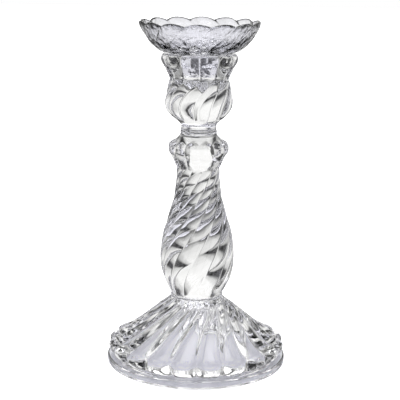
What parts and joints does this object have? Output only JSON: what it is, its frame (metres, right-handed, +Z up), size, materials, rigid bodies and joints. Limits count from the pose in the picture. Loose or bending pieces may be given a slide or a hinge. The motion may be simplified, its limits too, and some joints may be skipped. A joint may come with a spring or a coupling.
{
  "type": "candlestick",
  "caption": "Clear pressed-glass candlestick with a swirled domed foot, a ribbed baluster stem, a tulip candle cup and a loose scalloped drip pan.",
  "frame": {"origin": "centre of the foot's resting ring, at the height of the surface it stands on", "axes": "+Z up along the candlestick's axis, -Y towards the front; the lobes and ribs turn anticlockwise, seen from above, as they rise"},
  "size_m": [0.1206, 0.1206, 0.2295],
  "materials": {
    "foot_glass": "clear, fire-polished, thick pressed glass",
    "stem_glass": "clear, fire-polished, solid glass",
    "cup_glass": "clear, fire-polished, thick pressed glass",
    "pan_glass": "clear, fire-polished, thin pressed glass"
  },
  "bodies": {
    "candlestick": {"foot": "foot_glass", "foot_wafer": "stem_glass", "stem": "stem_glass", "neck_wafer": "stem_glass", "candle_cup": "cup_glass"},
    "pan": {"drip_pan": "pan_glass"}
  },
  "joints": [
    {"name": "drip_pan_lift", "type": "slide", "parent": "candlestick", "child": "pan", "axis": [0, 0, 1], "range_m": [0, 0.04]}
  ]
}
